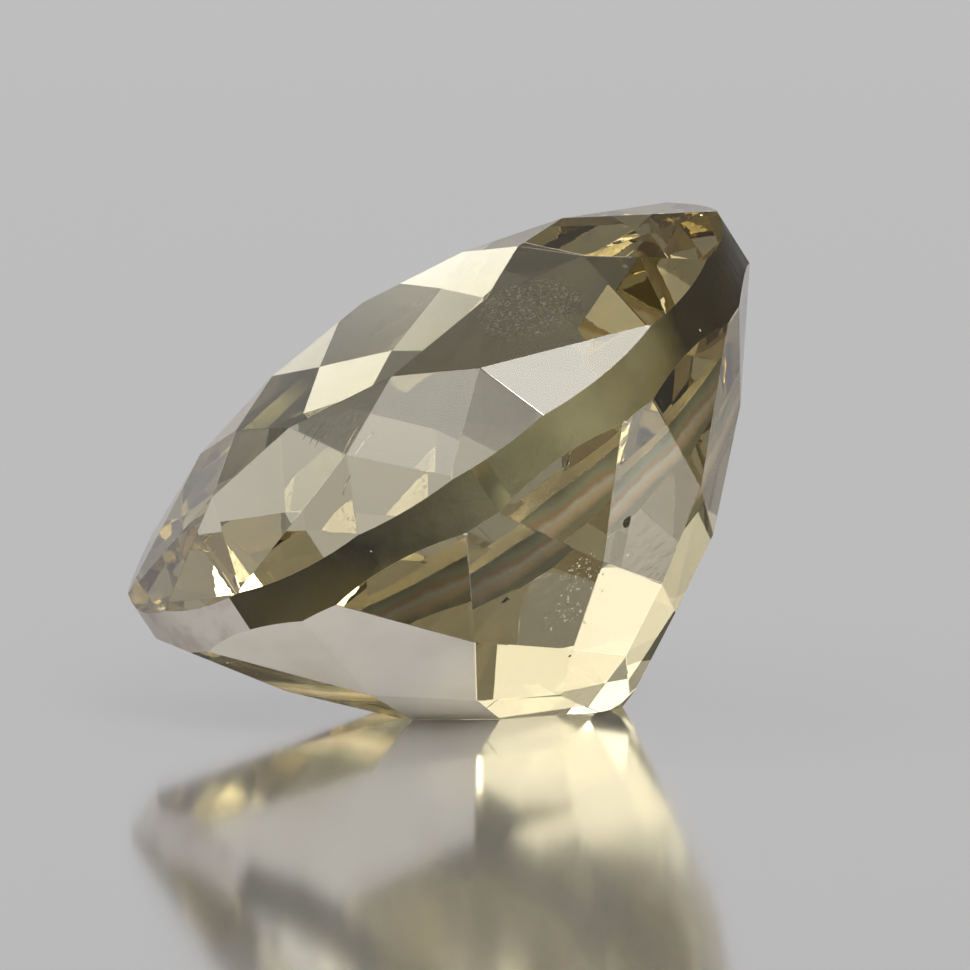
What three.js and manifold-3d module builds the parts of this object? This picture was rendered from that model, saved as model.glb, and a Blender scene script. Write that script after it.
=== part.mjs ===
// A cut diaspore crystal: an oval faceted stone with a tall lower half cut in tiers,
// lying on one of its lower facets with its table turned up and to the left.
// Millimetres, +Z up. The ground is z = 0 and the origin is the centre of the stone's box on it.
import * as THREE from "three";
import { mergeVertices } from "three/addons/utils/BufferGeometryUtils.js";
import Module from "manifold-3d";

// The outline seen along the stone's axis.
const stoneLength = 14.0;
const stoneWidth = 12.33;
const outlineExponent = 2.05; // 2 would be an ellipse, more is squarer
const outlineSteps = 128;

// Index: where a facet sits round the outline, in degrees from the stone's long axis.
// Every facet is repeated in all four quarters. Heights are measured from the girdle's lower line.
const mainIndexes = { side: 90, shoulder: 60.2, cheek: 26.9, end: 0 };
const mainAngles = { side: 52.4, shoulder: 52.3, cheek: 51.9, end: 52.3 };
const mainHeight = -0.204;
const breakAngle = 56.9;
const secondAngles = { side: 46.0, shoulder: 44.3, cheek: 47.9 };
const thirdAngles = { side: 40.8, shoulder: 39.7, cheek: 33.9 };
const thirdCheekIndex = 15.1;
const tipAngle = 27.1;
const tipDepth = 6.68;

// The facet the stone lies on takes the place of one third-tier cheek facet. It was cut a little deeper.
const restIndex = 12.0;
const restAngle = 33.3;
const restDepth = 5.519; // from the middle of the girdle's lower line

const tableHeight = 2.492;
const kiteIndexes = { end: 0, shoulder: 48.5, side: 90 };
const kiteAngles = { end: 23.7, shoulder: 25.6, side: 29.9 };
const kiteHeight = 0.892;
const starAngles = { end: 14.6, side: 20.1 };
const girdlePeaks = { end: 26.5, side: 73.2 }; // where two upper girdle facets meet on the outline
const girdlePeakHeight = 0.911;

// The crown was cut a little out of true with the lower half.
const crownLean = -0.8;
const crownShift = [-0.016, 0.097];

// How the stone lies: turned about the upright after it is laid on its facet.
const yaw = 16.8;

const rad = THREE.MathUtils.degToRad;
const mirror = (v, sx, sy) => new THREE.Vector3(v.x * sx, v.y * sy, v.z);

// The point of the outline at an index, at a height.
function outlinePoint(index, height) {
  const c = Math.cos(rad(index));
  const s = Math.sin(rad(index));
  const power = 2 / outlineExponent;
  const x = (stoneLength / 2) * Math.sign(c) * Math.abs(c) ** power;
  const y = (stoneWidth / 2) * Math.sign(s) * Math.abs(s) ** power;
  return new THREE.Vector3(x, -y, height);
}

// A facet square to the outline at an index, sloping at an angle, through a point.
// up is 1 for the crown and -1 for the lower half.
function facet(index, angle, point, up) {
  const power = 2 - 2 / outlineExponent;
  const x = Math.abs(Math.cos(rad(index))) ** power / stoneLength;
  const y = Math.abs(Math.sin(rad(index))) ** power / stoneWidth;
  const out = new THREE.Vector3(x, -y, 0).setLength(Math.sin(rad(angle)));
  const normal = out.setZ(up * Math.cos(rad(angle)));
  return new THREE.Plane().setFromNormalAndCoplanarPoint(normal, point);
}

function mirroredPlane(plane, sx, sy) {
  return new THREE.Plane(mirror(plane.normal, sx, sy), plane.constant);
}

// The point where three facets meet.
function meet(p, q, r) {
  const qr = q.normal.clone().cross(r.normal).multiplyScalar(-p.constant);
  const rp = r.normal.clone().cross(p.normal).multiplyScalar(-q.constant);
  const pq = p.normal.clone().cross(q.normal).multiplyScalar(-r.constant);
  const volume = p.normal.dot(q.normal.clone().cross(r.normal));
  return qr.add(rp).add(pq).divideScalar(volume);
}

function throughPoints(a, b, c) {
  const plane = new THREE.Plane().setFromCoplanarPoints(a, b, c);
  return plane.normal.z < 0 ? plane.negate() : plane;
}

// The lower half: mains, the breaks under the girdle, then three tiers down to the tip.
const mains = {};
for (const [name, index] of Object.entries(mainIndexes)) {
  mains[name] = facet(index, mainAngles[name], outlinePoint(index, mainHeight), -1);
}
const breakIndexes = {
  side: (mainIndexes.side + mainIndexes.shoulder) / 2,
  shoulder: (mainIndexes.shoulder + mainIndexes.cheek) / 2,
  cheek: (mainIndexes.cheek + mainIndexes.end) / 2,
};
const breaks = {};
for (const [name, index] of Object.entries(breakIndexes)) {
  breaks[name] = facet(index, breakAngle, outlinePoint(index, 0), -1);
}
const breakTips = {
  side: meet(mains.side, mains.shoulder, breaks.side),
  shoulder: meet(mains.shoulder, mains.cheek, breaks.shoulder),
  cheek: meet(mains.cheek, mains.end, breaks.cheek),
};
const seconds = {};
for (const [name, index] of Object.entries(breakIndexes)) {
  seconds[name] = facet(index, secondAngles[name], breakTips[name], -1);
}
const sideTip = meet(mains.side, seconds.side, mirroredPlane(seconds.side, -1, 1));
const shoulderTip = meet(mains.shoulder, seconds.side, seconds.shoulder);
const cheekTip = meet(mains.cheek, seconds.shoulder, seconds.cheek);
const thirds = [
  facet(mainIndexes.side, thirdAngles.side, sideTip, -1),
  facet(mainIndexes.shoulder, thirdAngles.shoulder, shoulderTip, -1),
];
const thirdCheek = facet(thirdCheekIndex, thirdAngles.cheek, cheekTip, -1);
const tip = new THREE.Vector3(0, 0, -tipDepth);
const tipIndexes = [mainIndexes.side, mainIndexes.shoulder, thirdCheekIndex, mainIndexes.end];
const tips = tipIndexes.map((index) => facet(index, tipAngle, tip, -1));
const lowerHalf = [mains, breaks, seconds, thirds, tips].flatMap(Object.values);

// The facet it lies on, in the quarter at the left of the near side.
const restFacet = mirroredPlane(facet(restIndex, restAngle, new THREE.Vector3(), -1), -1, 1);
restFacet.constant = -restDepth;

// The crown: kites, stars and upper girdle facets round the table.
const kites = {};
const kiteFeet = {};
const tableCorners = {};
for (const [name, index] of Object.entries(kiteIndexes)) {
  const foot = outlinePoint(index, kiteHeight);
  const kite = facet(index, kiteAngles[name], foot, 1);
  // Straight in from the foot, the kite reaches the table's height here.
  const inward = foot.clone().setZ(0).normalize();
  const rise = -kite.constant - kite.normal.z * tableHeight;
  const corner = inward.clone().multiplyScalar(rise / kite.normal.dot(inward));
  kites[name] = kite;
  kiteFeet[name] = foot;
  tableCorners[name] = corner.setZ(tableHeight);
}

// A star slopes down outward from one edge of the table.
function star(from, to, angle) {
  const along = to.clone().sub(from).normalize();
  const out = new THREE.Vector3(along.y, -along.x, 0);
  if (out.dot(from) < 0) out.negate();
  const normal = out.multiplyScalar(Math.sin(rad(angle))).setZ(Math.cos(rad(angle)));
  return new THREE.Plane().setFromNormalAndCoplanarPoint(normal, from);
}
const endStar = star(tableCorners.end, tableCorners.shoulder, starAngles.end);
const sideStar = star(tableCorners.shoulder, tableCorners.side, starAngles.side);
const endStarTip = meet(kites.end, kites.shoulder, endStar);
const sideStarTip = meet(kites.shoulder, kites.side, sideStar);
const endPeak = outlinePoint(girdlePeaks.end, girdlePeakHeight);
const sidePeak = outlinePoint(girdlePeaks.side, girdlePeakHeight);
const upperGirdle = [
  throughPoints(endStarTip, kiteFeet.end, endPeak),
  throughPoints(endStarTip, kiteFeet.shoulder, endPeak),
  throughPoints(sideStarTip, kiteFeet.shoulder, sidePeak),
  throughPoints(sideStarTip, kiteFeet.side, sidePeak),
];
const table = new THREE.Plane(new THREE.Vector3(0, 0, 1), -tableHeight);
const crown = [...Object.values(kites), endStar, sideStar, ...upperGirdle, table];

// Every facet in the four quarters, without the copies that fall on themselves.
function aroundStone(planes) {
  const all = [];
  for (const plane of planes) {
    for (const sx of [1, -1]) {
      for (const sy of [1, -1]) {
        const made = mirroredPlane(plane, sx, sy);
        const known = all.some((p) => p.normal.distanceTo(made.normal) < 1e-6);
        if (!known) all.push(made);
      }
    }
  }
  return all;
}

const crownTurn = new THREE.Matrix4().makeRotationY(rad(crownLean));
crownTurn.setPosition(crownShift[0], crownShift[1], 0);
const otherCheeks = aroundStone([thirdCheek]).filter((p) => p.normal.x > 0 || p.normal.y > 0);
const facets = [
  ...aroundStone(lowerHalf),
  ...otherCheeks,
  restFacet,
  ...aroundStone(crown).map((plane) => plane.applyMatrix4(crownTurn)),
];

const wasm = await Module();
wasm.setup();

function solidOf(geometry) {
  const bare = geometry.clone();
  bare.deleteAttribute("normal");
  bare.deleteAttribute("uv");
  const merged = mergeVertices(bare, 1e-5);
  return new wasm.Manifold(
    new wasm.Mesh({
      numProp: 3,
      vertProperties: merged.attributes.position.array,
      triVerts: new Uint32Array(merged.index.array),
    }),
  );
}

function geometryOf(solid) {
  const mesh = solid.getMesh();
  const geometry = new THREE.BufferGeometry();
  geometry.setAttribute("position", new THREE.BufferAttribute(mesh.vertProperties, 3));
  geometry.setIndex(new THREE.BufferAttribute(mesh.triVerts, 1));
  return geometry;
}

// The uncut blank: the outline drawn out far enough to hold the whole stone.
const outline = new THREE.Shape();
for (let i = 0; i < outlineSteps; i += 1) {
  const p = outlinePoint((360 * i) / outlineSteps, 0);
  if (i === 0) outline.moveTo(p.x, -p.y);
  else outline.lineTo(p.x, -p.y);
}
outline.closePath();
const blank = new THREE.ExtrudeGeometry(outline, { depth: 12, bevelEnabled: false });
blank.translate(0, 0, -8);

// Each facet takes off what lies outside its plane.
let stoneSolid = solidOf(blank);
for (const plane of facets) {
  const waste = new THREE.BoxGeometry(40, 40, 20).translate(0, 0, 10);
  const up = new THREE.Vector3(0, 0, 1);
  const turn = new THREE.Quaternion().setFromUnitVectors(up, plane.normal.clone().normalize());
  waste.applyQuaternion(turn);
  const foot = plane.normal.clone().multiplyScalar(-plane.constant);
  waste.translate(foot.x, foot.y, foot.z);
  stoneSolid = stoneSolid.subtract(solidOf(waste));
}

const stoneMaterial = new THREE.MeshStandardMaterial({
  color: 0xb9b189,
  roughness: 0.05,
  metalness: 0,
  transparent: true,
  opacity: 0.6,
});
const stone = new THREE.Mesh(geometryOf(stoneSolid).toNonIndexed(), stoneMaterial);
stone.geometry.computeVertexNormals();
stone.name = "cut_gemstone";

// Lay the stone on its resting facet: turn that facet to the left, tip it down, then turn the stone.
const azimuth = Math.atan2(restFacet.normal.y, restFacet.normal.x);
stone.rotateZ(rad(yaw));
stone.rotateY(-Math.acos(-restFacet.normal.z));
stone.rotateZ(Math.PI - azimuth);
stone.position.z = restDepth;

const group = new THREE.Group();
group.add(stone);
group.updateMatrixWorld(true);
const box = new THREE.Box3().setFromObject(stone, true);
const middle = box.getCenter(new THREE.Vector3());
stone.position.x -= middle.x;
stone.position.y -= middle.y;

export default group;
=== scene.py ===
import math
import random

import bpy
from mathutils import Matrix, Vector


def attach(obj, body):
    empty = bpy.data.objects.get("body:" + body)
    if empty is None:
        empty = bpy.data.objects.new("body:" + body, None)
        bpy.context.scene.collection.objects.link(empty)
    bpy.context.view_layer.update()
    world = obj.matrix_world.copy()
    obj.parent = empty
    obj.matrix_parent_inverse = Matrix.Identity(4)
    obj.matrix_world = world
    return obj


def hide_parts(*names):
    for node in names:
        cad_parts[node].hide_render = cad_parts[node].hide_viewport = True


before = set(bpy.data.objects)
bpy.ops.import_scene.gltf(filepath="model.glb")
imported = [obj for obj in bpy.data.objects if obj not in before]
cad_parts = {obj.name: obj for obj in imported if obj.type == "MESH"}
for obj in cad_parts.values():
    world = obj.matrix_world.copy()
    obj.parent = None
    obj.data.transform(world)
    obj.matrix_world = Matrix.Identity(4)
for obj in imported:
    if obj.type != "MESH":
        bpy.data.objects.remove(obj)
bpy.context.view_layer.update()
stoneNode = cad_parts["cut_gemstone"]
mm = 0.001


def at(x, y, z):
    return Vector((x, y, z)) * mm


# The camera looks along +Y, a little downward, from about 15 cm with a long lens.
camera = {
    "lens": 274.2,
    "sensor": 36,
    "downward": 6.5,
    "distance": 147.6 * mm,
    "aim": at(0.935, 0.229, 4.598),
    "near": 10 * mm,
    "far": 20,
}
cameraData = bpy.data.cameras.new("camera")
cameraData.lens = camera["lens"]
cameraData.sensor_width = camera["sensor"]
cameraData.clip_start = camera["near"]
cameraData.clip_end = camera["far"]
cameraObject = bpy.data.objects.new("camera", cameraData)
bpy.context.scene.collection.objects.link(cameraObject)
tilt = math.radians(camera["downward"])
back = Vector((0, -math.cos(tilt), math.sin(tilt)))
cameraObject.location = camera["aim"] + back * camera["distance"]
cameraObject.rotation_euler = (math.radians(90) - tilt, 0, 0)
bpy.context.scene.camera = cameraObject
print("camera placed")


def deselectAll():
    bpy.ops.object.select_all(action="DESELECT")


def onlyThis(piece):
    deselectAll()
    piece.select_set(True)
    bpy.context.view_layer.objects.active = piece


# How the stone lies: its table leans up and to the left, away from the camera.
lie = {"yaw": 16.8, "tip": 33.3, "turn": -13.08, "heart": at(0.153, 0.049, 5.519)}
lieMatrix = (
    Matrix.Rotation(math.radians(lie["yaw"]), 3, "Z")
    @ Matrix.Rotation(-math.radians(lie["tip"]), 3, "Y")
    @ Matrix.Rotation(math.radians(lie["turn"]), 3, "Z")
)
lengthwise = lieMatrix @ Vector((1, 0, 0))
crosswise = lieMatrix @ Vector((0, 1, 0))
stoneAxis = lieMatrix @ Vector((0, 0, 1))


def newMaterial(name):
    material = bpy.data.materials.new(name)
    material.use_nodes = True
    nodes = material.node_tree.nodes
    return material, nodes, material.node_tree.links, nodes["Principled BSDF"]


def rangeNode(nodes, links, value, start, end, low=0.0, high=1.0, kind="SMOOTHSTEP"):
    ramp = nodes.new("ShaderNodeMapRange")
    ramp.interpolation_type = kind
    ramp.inputs["From Min"].default_value = start
    ramp.inputs["From Max"].default_value = end
    ramp.inputs["To Min"].default_value = low
    ramp.inputs["To Max"].default_value = high
    links.new(value, ramp.inputs["Value"])
    return ramp.outputs[0]


def mathNode(nodes, links, operation, first, second):
    result = nodes.new("ShaderNodeMath")
    result.operation = operation
    links.new(first, result.inputs[0])
    links.new(second, result.inputs[1])
    return result.outputs[0]


def vectorNode(nodes, links, operation, place, other):
    result = nodes.new("ShaderNodeVectorMath")
    result.operation = operation
    result.inputs[1].default_value = other
    links.new(place, result.inputs[0])
    return result.outputs["Value"]


def mixNode(nodes, links, amount, low, high):
    # low and high are colours, or come from other nodes
    mix = nodes.new("ShaderNodeMixRGB")
    links.new(amount, mix.inputs[0])
    for socket, colour in ((mix.inputs[1], low), (mix.inputs[2], high)):
        if isinstance(colour, bpy.types.NodeSocket):
            links.new(colour, socket)
        else:
            socket.default_value = colour
    return mix.outputs[0]


def noiseNode(nodes, links, place, scale, detail=3.0):
    noise = nodes.new("ShaderNodeTexNoise")
    noise.inputs["Scale"].default_value = scale
    noise.inputs["Detail"].default_value = detail
    links.new(place, noise.inputs["Vector"])
    return noise.outputs[0]


def bumpNode(nodes, links, height, strength, depth):
    bump = nodes.new("ShaderNodeBump")
    bump.inputs["Strength"].default_value = strength
    bump.inputs["Distance"].default_value = depth
    links.new(height, bump.inputs["Height"])
    return bump.outputs[0]


def overSpan(nodes, links, place, axis, span, kind="SMOOTHSTEP"):
    # 0 to 1 over a span along one of the stone's axes, counted from its heart
    heart = lie["heart"].dot(axis)
    along = vectorNode(nodes, links, "DOT_PRODUCT", place, axis)
    return rangeNode(nodes, links, along, heart + span[0], heart + span[1], kind=kind)


def cloudedColour(nodes, links, cloud, look):
    # the look's colour, with clouds of its shade
    amount = rangeNode(nodes, links, cloud, *look["cloudRange"])
    return mixNode(nodes, links, amount, look["colour"], look["shade"])


# The crystal: clear, and olive where the way through it is long. Its polish is fine, with
# some dust on one upper facet.
crystal = {
    "ior": 1.72,
    "tint": (0.84, 0.785, 0.575, 1),
    "density": 150.0,
    "lapScale": 2600.0,
    "lapDepth": 0.0006 * mm,
    "dustPoint": at(1.8, -3.1, 8.4),
    "dustReach": 1.5 * mm,
    "dustThick": 0.6 * mm,
    "dustGrain": 16000.0,
    "dustRange": (0.52, 0.66),
    "dustRoughness": 0.5,
}


def addBodyColour(nodes, links):
    absorption = nodes.new("ShaderNodeVolumeAbsorption")
    absorption.inputs["Color"].default_value = crystal["tint"]
    absorption.inputs["Density"].default_value = crystal["density"]
    links.new(absorption.outputs[0], nodes["Material Output"].inputs["Volume"])


def makeCrystal():
    material, nodes, links, shader = newMaterial("polished_crystal")
    shader.inputs["Base Color"].default_value = (1, 1, 1, 1)
    shader.inputs["Transmission Weight"].default_value = 1
    shader.inputs["IOR"].default_value = crystal["ior"]
    place = nodes.new("ShaderNodeTexCoord").outputs["Object"]
    # dust, as specks of a rougher finish
    reach = vectorNode(nodes, links, "DISTANCE", place, crystal["dustPoint"])
    near = rangeNode(nodes, links, reach, crystal["dustReach"], crystal["dustThick"])
    grain = noiseNode(nodes, links, place, crystal["dustGrain"], 2.0)
    specks = rangeNode(nodes, links, grain, *crystal["dustRange"], high=crystal["dustRoughness"])
    links.new(mathNode(nodes, links, "MULTIPLY", near, specks), shader.inputs["Roughness"])
    # the faint waviness left by the lap
    lap = noiseNode(nodes, links, place, crystal["lapScale"], 2.0)
    links.new(bumpNode(nodes, links, lap, 1.0, crystal["lapDepth"]), shader.inputs["Normal"])
    addBodyColour(nodes, links)
    return material


# The girdle was left matt by the grinding lap: olive with a fine grain, cloudy, and darker
# towards both ends of the stone. Its far side has painted light: orange, cream, brown and
# green bands, one above the other, which stand in for the light seen through the stone from
# behind, and show through the near facets. A band is its height, as a share of bandHeight,
# and its colour. Spans are counted from the stone's heart.
girdle = {
    "flat": 0.02,
    "ior": 1.45,
    "middle": (0.76, 0.76, 0.36, 1),
    "ends": (0.05, 0.042, 0.01, 1),
    "leftSpan": (1.8 * mm, -3.6 * mm),
    "rightSpan": (4.5 * mm, 5.4 * mm),
    "cloudScale": 900.0,
    "cloudRange": (0.35, 0.75),
    "cloudDark": 0.35,
    "farSpan": (-0.5 * mm, 1.5 * mm),
    "bandHeight": 1.1 * mm,
    "bandWobble": 0.12,
    "wobbleRange": (0.2, 0.8),
    "paintedLightBands": [
        (0.0, (0.30, 0.26, 0.09, 1)),
        (0.22, (1.0, 0.62, 0.26, 1)),
        (0.38, (1.0, 0.95, 0.70, 1)),
        (0.50, (0.66, 0.32, 0.10, 1)),
        (0.66, (0.44, 0.50, 0.22, 1)),
        (0.90, (0.18, 0.18, 0.07, 1)),
    ],
    "roughness": 0.42,
    "roughnessSwing": 0.08,
    "roughnessRange": (0.3, 0.7),
    "grainScale": 9000.0,
    "grainStrength": 0.8,
    "grainDepth": 0.012 * mm,
}


# painted light: bands of colour on the far side of the girdle, standing in for the light seen
# through the stone from behind
def makePaintedLightBands(nodes, links, place, cloud):
    level = overSpan(nodes, links, place, stoneAxis, (0, girdle["bandHeight"]), "LINEAR")
    wobble = girdle["bandWobble"]
    waves = rangeNode(nodes, links, cloud, *girdle["wobbleRange"], low=-wobble, high=wobble)
    paintedLightBands = nodes.new("ShaderNodeValToRGB")
    stops = paintedLightBands.color_ramp.elements
    stops[0].position, stops[0].color = girdle["paintedLightBands"][0]
    stops[1].position, stops[1].color = girdle["paintedLightBands"][-1]
    for position, colour in girdle["paintedLightBands"][1:-1]:
        stops.new(position).color = colour
    links.new(mathNode(nodes, links, "ADD", level, waves), paintedLightBands.inputs[0])
    return paintedLightBands.outputs[0]


def makeGirdleFrost():
    material, nodes, links, shader = newMaterial("frosted_girdle")
    shader.inputs["Transmission Weight"].default_value = 1
    shader.inputs["IOR"].default_value = girdle["ior"]
    place = nodes.new("ShaderNodeTexCoord").outputs["Object"]
    cloud = noiseNode(nodes, links, place, girdle["cloudScale"], 4.0)
    left = overSpan(nodes, links, place, lengthwise, girdle["leftSpan"])
    right = overSpan(nodes, links, place, lengthwise, girdle["rightSpan"])
    clouds = rangeNode(nodes, links, cloud, *girdle["cloudRange"], high=girdle["cloudDark"])
    dark = mathNode(nodes, links, "ADD", mathNode(nodes, links, "ADD", left, right), clouds)
    dark.node.use_clamp = True
    olive = mixNode(nodes, links, dark, girdle["middle"], girdle["ends"])
    # the far side of the girdle gets the painted-light bands
    farSide = overSpan(nodes, links, place, crosswise, girdle["farSpan"])
    colour = mixNode(nodes, links, farSide, olive, makePaintedLightBands(nodes, links, place, cloud))
    links.new(colour, shader.inputs["Base Color"])
    smoothest = girdle["roughness"] - girdle["roughnessSwing"]
    roughest = girdle["roughness"] + girdle["roughnessSwing"]
    rough = rangeNode(nodes, links, cloud, *girdle["roughnessRange"], low=smoothest, high=roughest)
    links.new(rough, shader.inputs["Roughness"])
    grain = noiseNode(nodes, links, place, girdle["grainScale"], 4.0)
    grainBump = bumpNode(nodes, links, grain, girdle["grainStrength"], girdle["grainDepth"])
    links.new(grainBump, shader.inputs["Normal"])
    addBodyColour(nodes, links)
    return material


# At the low tip the girdle keeps a pale pinkish skin, with a sharp end across the girdle.
skin = {
    "ends": -5.05 * mm,
    "clear": 0.35,
    "roughness": 0.3,
    "colour": (0.86, 0.79, 0.76, 1),
    "shade": (0.60, 0.52, 0.49, 1),
    "cloudScale": 1500.0,
    "cloudRange": (0.4, 0.7),
    "grainScale": 7000.0,
    "grainStrength": 0.6,
    "grainDepth": 0.01 * mm,
}


def makePaleSkin():
    material, nodes, links, shader = newMaterial("pale_skin")
    shader.inputs["Transmission Weight"].default_value = skin["clear"]
    shader.inputs["Roughness"].default_value = skin["roughness"]
    shader.inputs["IOR"].default_value = crystal["ior"]
    place = nodes.new("ShaderNodeTexCoord").outputs["Object"]
    cloud = noiseNode(nodes, links, place, skin["cloudScale"], 4.0)
    links.new(cloudedColour(nodes, links, cloud, skin), shader.inputs["Base Color"])
    grain = noiseNode(nodes, links, place, skin["grainScale"])
    grainBump = bumpNode(nodes, links, grain, skin["grainStrength"], skin["grainDepth"])
    links.new(grainBump, shader.inputs["Normal"])
    addBodyColour(nodes, links)
    return material


# Painted light: the lowest facets on the camera's side get a pale, milky colour, and are only
# partly see-through; the pale colour stands in for the light that makes them look pale. They
# are those that face within some degrees of one direction.
paintedLightHaze = {
    "towards": Vector((-0.04, -0.565, -0.825)),
    "within": 13.0,
    "clear": 0.18,
    "roughness": 0.3,
    "colour": (1.0, 0.95, 0.89, 1),
    "shade": (0.93, 0.86, 0.79, 1),
    "cloudScale": 600.0,
    "cloudRange": (0.4, 0.7),
}


# painted light: a pale colour on the lowest front facets stands in for the light that falls on
# them
def makePaintedLightFacets():
    material, nodes, links, shader = newMaterial("painted_light_facets")
    shader.inputs["Transmission Weight"].default_value = paintedLightHaze["clear"]
    shader.inputs["Roughness"].default_value = paintedLightHaze["roughness"]
    shader.inputs["IOR"].default_value = crystal["ior"]
    place = nodes.new("ShaderNodeTexCoord").outputs["Object"]
    cloud = noiseNode(nodes, links, place, paintedLightHaze["cloudScale"])
    links.new(cloudedColour(nodes, links, cloud, paintedLightHaze), shader.inputs["Base Color"])
    addBodyColour(nodes, links)
    return material


# The stone itself: flat facets, whose sharp edges are very slightly worn where they are
# polished. Angles are in degrees.
stone = {
    "weld": 0.002 * mm,
    "flatWithin": 0.4,
    "edgeWear": 0.011 * mm,
    "wornLength": 0.3 * mm,
    "wornAngle": 3.0,
    "finishes": {
        "polished": makeCrystal,
        "frosted": makeGirdleFrost,
        "skin": makePaleSkin,
        # the pale painted-light finish of the lowest front facets
        "paintedLight": makePaintedLightFacets,
    },
}


def finishOf(face):
    if abs(face.normal.dot(stoneAxis)) > girdle["flat"]:
        # facets that face the given direction get the pale painted-light finish
        turned = math.degrees(face.normal.angle(paintedLightHaze["towards"]))
        return "paintedLight" if turned < paintedLightHaze["within"] else "polished"
    spot = face.center - lie["heart"]
    atTip = spot.dot(lengthwise) < skin["ends"] and spot.dot(crosswise) < 0
    return "skin" if atTip else "frosted"


def onGirdle(face):
    return finishOf(face) in ("frosted", "skin")


def wearEdges(piece):
    mesh = piece.data
    sides = {}
    for face in mesh.polygons:
        for key in face.edge_keys:
            sides.setdefault(key, []).append(face)
    for edge in mesh.edges:
        ends = [mesh.vertices[v].co for v in edge.vertices]
        first, second = sides[edge.key]
        turned = math.degrees(first.normal.angle(second.normal))
        long = (ends[0] - ends[1]).length > stone["wornLength"]
        polished = not onGirdle(first) and not onGirdle(second)
        edge.select = long and turned > stone["wornAngle"] and polished
    bpy.ops.object.mode_set(mode="EDIT")
    bpy.ops.mesh.bevel(offset=stone["edgeWear"], segments=1, clamp_overlap=False)
    bpy.ops.object.mode_set(mode="OBJECT")


def makeStone():
    mesh = stoneNode.data.copy()
    mesh.materials.clear()
    piece = bpy.data.objects.new("faceted_stone", mesh)
    bpy.context.scene.collection.objects.link(piece)
    onlyThis(piece)
    bpy.ops.object.mode_set(mode="EDIT")
    bpy.ops.mesh.select_all(action="SELECT")
    bpy.ops.mesh.remove_doubles(threshold=stone["weld"])
    bpy.ops.mesh.dissolve_limited(angle_limit=math.radians(stone["flatWithin"]))
    bpy.ops.mesh.select_mode(type="EDGE")
    bpy.ops.mesh.select_all(action="DESELECT")
    bpy.ops.object.mode_set(mode="OBJECT")
    wearEdges(piece)
    for make in stone["finishes"].values():
        mesh.materials.append(make())
    slots = list(stone["finishes"])
    for face in mesh.polygons:
        face.use_smooth = False
        face.material_index = slots.index(finishOf(face))
    return piece


stonePiece = makeStone()
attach(stonePiece, "root")
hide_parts("cut_gemstone")
print("stone made:", len(stonePiece.data.polygons), "faces")

# What the small marks in and on the stone have in common: a lump's corners are pushed in
# and out by these shares, and each finish is clouded and a little uneven.
marks = {
    "cornerPush": (0.72, 1.2),
    "cloudRange": (0.4, 0.65),
    "bumpStrength": 0.5,
    "bumpDepth": 0.005 * mm,
}


def makeMarkMaterial(name, look):
    material, nodes, links, shader = newMaterial(name)
    shader.inputs["Roughness"].default_value = look["roughness"]
    shader.inputs["Metallic"].default_value = look["metallic"]
    place = nodes.new("ShaderNodeTexCoord").outputs["Object"]
    cloud = noiseNode(nodes, links, place, look["cloudScale"])
    colour = cloudedColour(nodes, links, cloud, {**marks, **look})
    links.new(colour, shader.inputs["Base Color"])
    unevenness = bumpNode(nodes, links, cloud, marks["bumpStrength"], marks["bumpDepth"])
    links.new(unevenness, shader.inputs["Normal"])
    return material


def lumpy(centre, radius, stretch, turn, seed):
    # one small rough lump: a ball with its corners pushed in and out, then stretched
    bpy.ops.mesh.primitive_ico_sphere_add(subdivisions=2, radius=radius, location=(0, 0, 0))
    lump = bpy.context.object
    pick = random.Random(seed)
    for vertex in lump.data.vertices:
        vertex.co *= pick.uniform(*marks["cornerPush"])
    lump.scale = stretch
    lump.rotation_euler = turn
    lump.location = centre
    bpy.ops.object.transform_apply(location=True, rotation=True, scale=True)
    return lump


def joinAs(name, parts, material):
    deselectAll()
    for part in parts:
        part.select_set(True)
    bpy.context.view_layer.objects.active = parts[0]
    if len(parts) > 1:
        bpy.ops.object.join()
    piece = bpy.context.object
    piece.name = name
    piece.data.materials.clear()
    piece.data.materials.append(material)
    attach(piece, "root")
    return piece


# Two dark grains below the girdle, the larger one at the surface of a facet. Each has its
# place, its radius and how tall it is.
grains = {
    "each": [
        (at(3.682, -3.69, 4.326), 0.11 * mm, 1.2),
        (at(2.601, -2.155, 1.49), 0.035 * mm, 1.0),
    ],
    "slim": 0.8,
    "turn": (0.2, 0.5, 0.3),
    "seed": 40,
    "look": {
        "colour": (0.035, 0.028, 0.02, 1),
        "shade": (0.09, 0.07, 0.045, 1),
        "roughness": 0.55,
        "metallic": 0.0,
        "cloudScale": 9000.0,
    },
}


def makeGrains():
    dark = makeMarkMaterial("dark_grain", grains["look"])
    slim = grains["slim"]
    parts = []
    for number, (centre, radius, tall) in enumerate(grains["each"]):
        seed = grains["seed"] + number
        parts.append(lumpy(centre, radius, (slim, slim, tall), grains["turn"], seed))
    return joinAs("dark_grains", parts, dark)


# A healed feather: a leaning, curved veil of small flakes. They shine like metal, because
# white matt flakes look dark inside the crystal. Spread, lean, curve and depth are in widths.
feather = {
    "heart": at(2.56, -2.69, 3.12),
    "wide": 0.42 * mm,
    "tall": 0.95 * mm,
    "spread": 0.5,
    "lean": 0.35,
    "curve": 0.35,
    "depth": 0.08,
    "seed": 11,
    "flakes": 100,
    "flakeSize": (0.006 * mm, 0.03 * mm),
    "smallShare": 0.85,
    "largeBy": 1.4,
    "flakeThin": 0.3,
    "flakeTall": (0.6, 1.8),
    "flakeTurn": (0.5, 1, 0.6),
    "look": {
        "colour": (0.97, 0.96, 0.9, 1),
        "shade": (0.8, 0.78, 0.7, 1),
        "roughness": 0.3,
        "metallic": 1.0,
        "cloudScale": 20000.0,
    },
}


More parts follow.
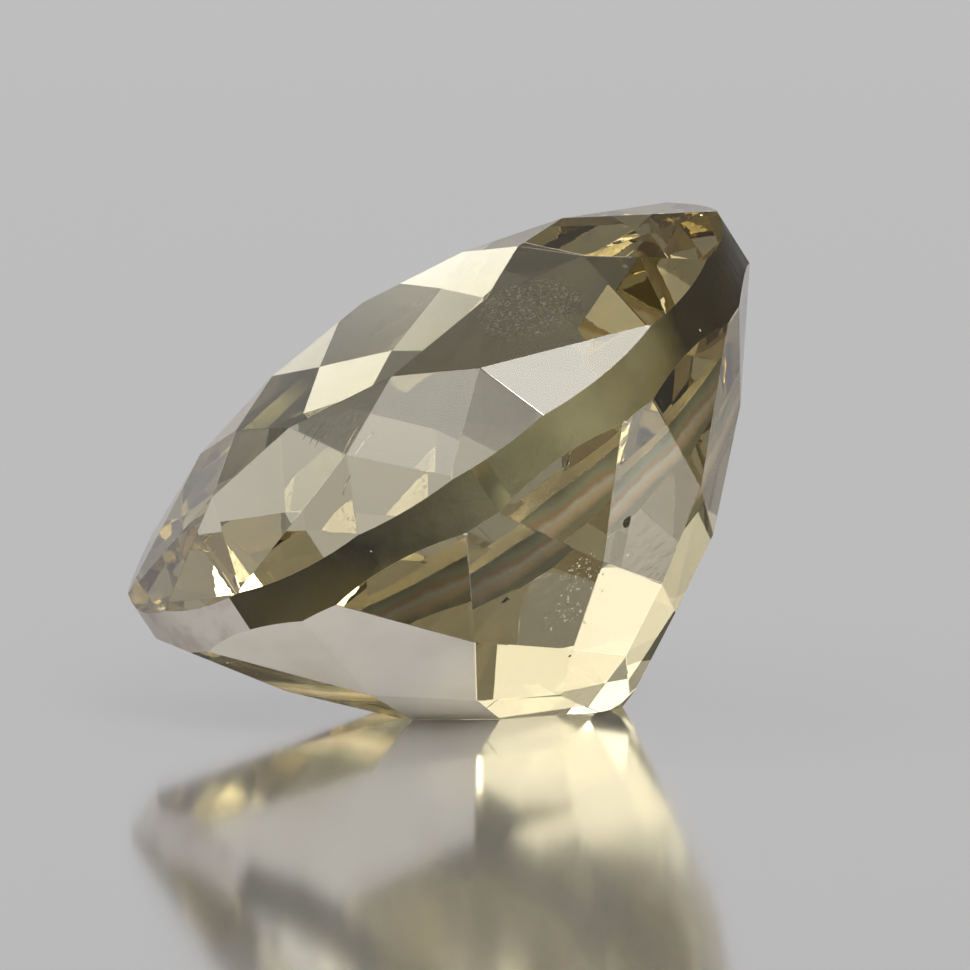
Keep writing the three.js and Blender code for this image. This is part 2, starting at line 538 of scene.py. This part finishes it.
def makeFeather():
    white = makeMarkMaterial("feather_flakes", feather["look"])
    pick = random.Random(feather["seed"])
    parts = []
    for number in range(feather["flakes"]):
        across = pick.gauss(0, feather["spread"])
        up = pick.uniform(-1, 1)
        deep = feather["curve"] * across * across + pick.gauss(0, feather["depth"])
        offset = Vector((across + feather["lean"] * up, deep, 0)) * feather["wide"]
        offset.z = up * feather["tall"]
        size = pick.uniform(*feather["flakeSize"])
        if pick.random() >= feather["smallShare"]:
            size *= feather["largeBy"]
        bpy.ops.mesh.primitive_ico_sphere_add(subdivisions=1, radius=size, location=(0, 0, 0))
        flake = bpy.context.object
        flake.scale = (1, feather["flakeThin"], pick.uniform(*feather["flakeTall"]))
        flake.rotation_euler = [pick.uniform(-turn, turn) for turn in feather["flakeTurn"]]
        flake.location = feather["heart"] + offset
        bpy.ops.object.transform_apply(location=True, rotation=True, scale=True)
        parts.append(flake)
    return joinAs("healed_feather", parts, white)


# Short growth lines close under the crown, each a fine bowed thread, thickest in its middle.
# Each has its two ends, and inward takes it just inside the stone. The pale ones shine like
# metal, for the same reason as the flakes.
growthLines = {
    "dark": [
        (at(-2.49, -3.38, 5.82), at(-2.15, -3.20, 6.27)),
        (at(-2.38, -3.58, 5.78), at(-2.01, -3.45, 6.23)),
        (at(-2.62, -3.14, 5.87), at(-2.29, -2.98, 6.30)),
    ],
    "pale": [
        (at(-1.83, -4.44, 5.69), at(-1.49, -4.06, 6.28)),
        (at(-1.62, -4.64, 5.68), at(-1.22, -4.39, 6.17)),
        (at(-1.81, -5.06, 5.01), at(-1.66, -4.87, 5.39)),
    ],
    "inward": Vector((0.6, 0.5, -0.65)) * 0.04 * mm,
    "bow": Vector((-0.5, 0.3, 0.2)) * 0.07 * mm,
    "radius": 0.022 * mm,
    "endShare": 0.25,
    "steps": 8,
    "weld": 0.0005 * mm,
    "darkLook": {
        "colour": (0.20, 0.18, 0.11, 1),
        "shade": (0.32, 0.29, 0.20, 1),
        "roughness": 0.6,
        "metallic": 0.0,
        "cloudScale": 6000.0,
    },
    "paleLook": {
        "colour": (1.0, 0.90, 0.70, 1),
        "shade": (0.9, 0.72, 0.55, 1),
        "roughness": 0.35,
        "metallic": 1.0,
        "cloudScale": 6000.0,
    },
}


def makeThread(start, end):
    curve = bpy.data.curves.new("line", "CURVE")
    curve.dimensions = "3D"
    curve.bevel_depth = growthLines["radius"]
    curve.bevel_resolution = 1
    curve.use_fill_caps = True
    spline = curve.splines.new("POLY")
    spline.points.add(growthLines["steps"])
    for number, point in enumerate(spline.points):
        step = number / growthLines["steps"]
        bulge = 4 * step * (1 - step)
        place = start.lerp(end, step) + growthLines["inward"] + bulge * growthLines["bow"]
        point.co = (*place, 1)
        point.radius = growthLines["endShare"] + (1 - growthLines["endShare"]) * bulge
    thread = bpy.data.objects.new("line", curve)
    bpy.context.scene.collection.objects.link(thread)
    onlyThis(thread)
    bpy.ops.object.convert(target="MESH")
    # the end caps come loose from the thread, so they are sewn on
    bpy.ops.object.mode_set(mode="EDIT")
    bpy.ops.mesh.select_all(action="SELECT")
    bpy.ops.mesh.remove_doubles(threshold=growthLines["weld"])
    bpy.ops.mesh.normals_make_consistent(inside=False)
    bpy.ops.object.mode_set(mode="OBJECT")
    return bpy.context.object


def makeGrowthLines():
    for tone in ("dark", "pale"):
        material = makeMarkMaterial(tone + "_line", growthLines[tone + "Look"])
        threads = [makeThread(start, end) for start, end in growthLines[tone]]
        joinAs("growth_lines_" + tone, threads, material)


# Wear on the surface: one short scratch, and chips along the girdle's edges. Each chip has
# its place, its size and its turn.
wear = {
    "scratch": (at(0.933, -1.352, 0.307), at(1.2, -1.733, 0.572)),
    "scratchWidth": 0.016 * mm,
    "scratchSeed": 5,
    "chips": [
        (at(0.563, -5.991, 4.362), 0.05 * mm, (0.6, 0.0, 0.5)),
        (at(3.618, -5.257, 6.441), 0.045 * mm, (0.6, 0.3, 0.1)),
        (at(-1.25, -5.93, 4.02), 0.025 * mm, (0.6, 0.6, -0.3)),
        (at(5.10, -3.73, 8.07), 0.04 * mm, (0.6, 0.9, -0.7)),
    ],
    "chipShape": (1, 0.35, 0.5),
    "chipSeed": 60,
    "look": {
        "colour": (0.88, 0.87, 0.82, 1),
        "shade": (0.7, 0.68, 0.6, 1),
        "roughness": 0.5,
        "metallic": 0.0,
        "cloudScale": 15000.0,
    },
}


def makeWear():
    chalk = makeMarkMaterial("chalky_wear", wear["look"])
    start, end = wear["scratch"]
    half = 0.5 * (end - start).length
    turn = (end - start).to_track_quat("X", "Z").to_euler()
    flat = wear["scratchWidth"] / half
    parts = [lumpy((start + end) / 2, half, (1, flat, flat), turn, wear["scratchSeed"])]
    for number, (centre, size, chipTurn) in enumerate(wear["chips"]):
        parts.append(lumpy(centre, size, wear["chipShape"], chipTurn, wear["chipSeed"] + number))
    return joinAs("surface_wear", parts, chalk)


makeGrains()
makeFeather()
makeGrowthLines()
makeWear()
print("inclusions and wear made")

# A plain pale floor, smooth enough to mirror what stands on it a little.
floor = {
    "halfWidth": 1.5,
    "colour": (0.80, 0.812, 0.835, 1),
    "metallic": 0.8,
    "roughness": 0.1,
}


def makeFloor():
    deselectAll()
    bpy.ops.mesh.primitive_plane_add(size=2 * floor["halfWidth"], location=(0, 0, 0))
    plane = bpy.context.object
    plane.name = "floor"
    material, nodes, links, shader = newMaterial("pale_floor")
    shader.inputs["Base Color"].default_value = floor["colour"]
    shader.inputs["Metallic"].default_value = floor["metallic"]
    shader.inputs["Roughness"].default_value = floor["roughness"]
    plane.data.materials.append(material)
    return plane


makeFloor()
print("floor laid")

# Soft light from round panels all about. Each has its azimuth (0 is the camera's side, 90 is
# +X), its height and half width in degrees, and how bright it is. A later panel lies over the
# earlier ones, so a dim one darkens what it covers. Up to horizonHeight, one cool light then
# lies over them all, and the cool front patch over that.
studio = {
    "room": 0.03,
    "warm": (1.0, 0.975, 0.90),
    "cool": (1.0, 0.98, 0.985),
    "edge": 3.0,
    "panels": [
        (41, 71, 40, 0.7),  # high over the front right
        (273, 22, 38, 3.0),  # wide and bright, on the left
        (81, 50, 30, 8.5),  # the brightest with the front one, on the right
        (274, 1, 51, 1.0),  # wide and low, on the left
        (46, 53, 51, 0.35),  # wide and dim, over the front right
        (185, 28, 26, 0.1),  # dark, behind the stone
        (150, 61, 9, 2.6),  # high behind
        (149, 47, 5, 0.2),  # a small dark gap behind
        (135, 42, 5, 2.6),  # small, behind to the right
        (159, 48, 4, 2.2),  # small, behind
        (265, 25, 17, 0.12),  # dark, on the left
        (15, 31, 20, 8.5),  # bright, in front
        (325, 48, 24, 1.5),  # over the front left
        (236, 71, 6, 6.0),  # small and high, behind to the left
    ],
    "horizon": 0.53,
    "horizonHeight": 15.0,
    "horizonEdge": 4.0,
    "front": (5, 8, 30, 0.3),
}


def panelAxis(azimuth, height):
    around = math.radians(azimuth)
    up = math.radians(height)
    return (math.cos(up) * math.sin(around), -math.cos(up) * math.cos(around), math.sin(up))


def toned(level, tone):
    red, green, blue = studio[tone]
    return (level * red, level * green, level * blue, 1)


def layPanel(nodes, links, ray, below, panel, tone):
    azimuth, height, half, level = panel
    facing = vectorNode(nodes, links, "DOT_PRODUCT", ray, panelAxis(azimuth, height))
    outer = math.cos(math.radians(half + studio["edge"]))
    inner = math.cos(math.radians(half - studio["edge"]))
    mask = rangeNode(nodes, links, facing, outer, inner)
    return mixNode(nodes, links, mask, below, toned(level, tone))


def layHorizon(nodes, links, ray, below):
    parts = nodes.new("ShaderNodeSeparateXYZ")
    links.new(ray, parts.inputs[0])
    outer = math.sin(math.radians(studio["horizonHeight"] + studio["horizonEdge"]))
    inner = math.sin(math.radians(studio["horizonHeight"] - studio["horizonEdge"]))
    mask = rangeNode(nodes, links, parts.outputs["Z"], outer, inner)
    return mixNode(nodes, links, mask, below, toned(studio["horizon"], "cool"))


def makeStudio():
    world = bpy.data.worlds.new("studio")
    bpy.context.scene.world = world
    world.use_nodes = True
    nodes = world.node_tree.nodes
    links = world.node_tree.links
    ray = nodes.new("ShaderNodeTexCoord").outputs["Generated"]
    light = toned(studio["room"], "warm")
    for panel in studio["panels"]:
        light = layPanel(nodes, links, ray, light, panel, "warm")
    light = layHorizon(nodes, links, ray, light)
    light = layPanel(nodes, links, ray, light, studio["front"], "cool")
    links.new(light, nodes["Background"].inputs[0])


makeStudio()
print("studio lit")

scene = bpy.context.scene
scene.view_settings.view_transform = "Standard"
scene.cycles.max_bounces = 32
scene.cycles.transmission_bounces = 32
scene.cycles.glossy_bounces = 16
